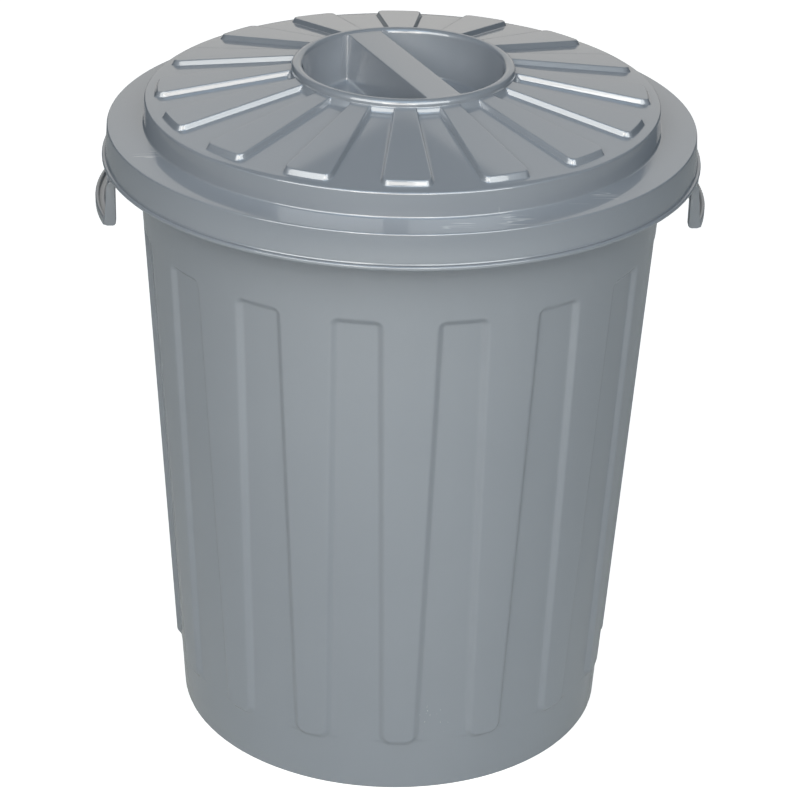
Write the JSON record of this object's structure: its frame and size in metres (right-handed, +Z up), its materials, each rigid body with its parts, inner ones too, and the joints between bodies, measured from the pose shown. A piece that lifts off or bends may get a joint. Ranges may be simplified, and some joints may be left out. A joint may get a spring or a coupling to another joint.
{
  "type": "lidded trash can",
  "caption": "Round tapered plastic trash can with fluted walls, a ribbed lift-off lid with a sunk grip, and swing side handles.",
  "frame": {"origin": "on the floor under the middle of the bin", "axes": "+Z up along the bin's axis, X through the two handles, -Y towards the viewer of the picture"},
  "size_m": [0.5436, 0.53, 0.6283],
  "materials": {
    "body_plastic": "satin silver-grey moulded plastic",
    "lid_plastic": "satin silver-grey moulded plastic with light scuffs",
    "handle_plastic": "satin grey moulded plastic"
  },
  "bodies": {
    "bin": {"bin_body": "body_plastic"},
    "lid": {"lid": "lid_plastic"},
    "handle_left": {"handle_left": "handle_plastic"},
    "handle_right": {"handle_right": "handle_plastic"}
  },
  "joints": [
    {"name": "lid_lift", "type": "slide", "parent": "bin", "child": "lid", "axis": [0, 0, 1], "range_m": [0, 0.3]},
    {"name": "handle_left_swing", "type": "hinge", "parent": "bin", "child": "handle_left", "pos_m": [-0.254, 0, 0.5368], "axis": [0, 1, 0], "range_deg": [0, 110]},
    {"name": "handle_right_swing", "type": "hinge", "parent": "bin", "child": "handle_right", "pos_m": [0.254, 0, 0.5368], "axis": [0, -1, 0], "range_deg": [0, 110]}
  ]
}
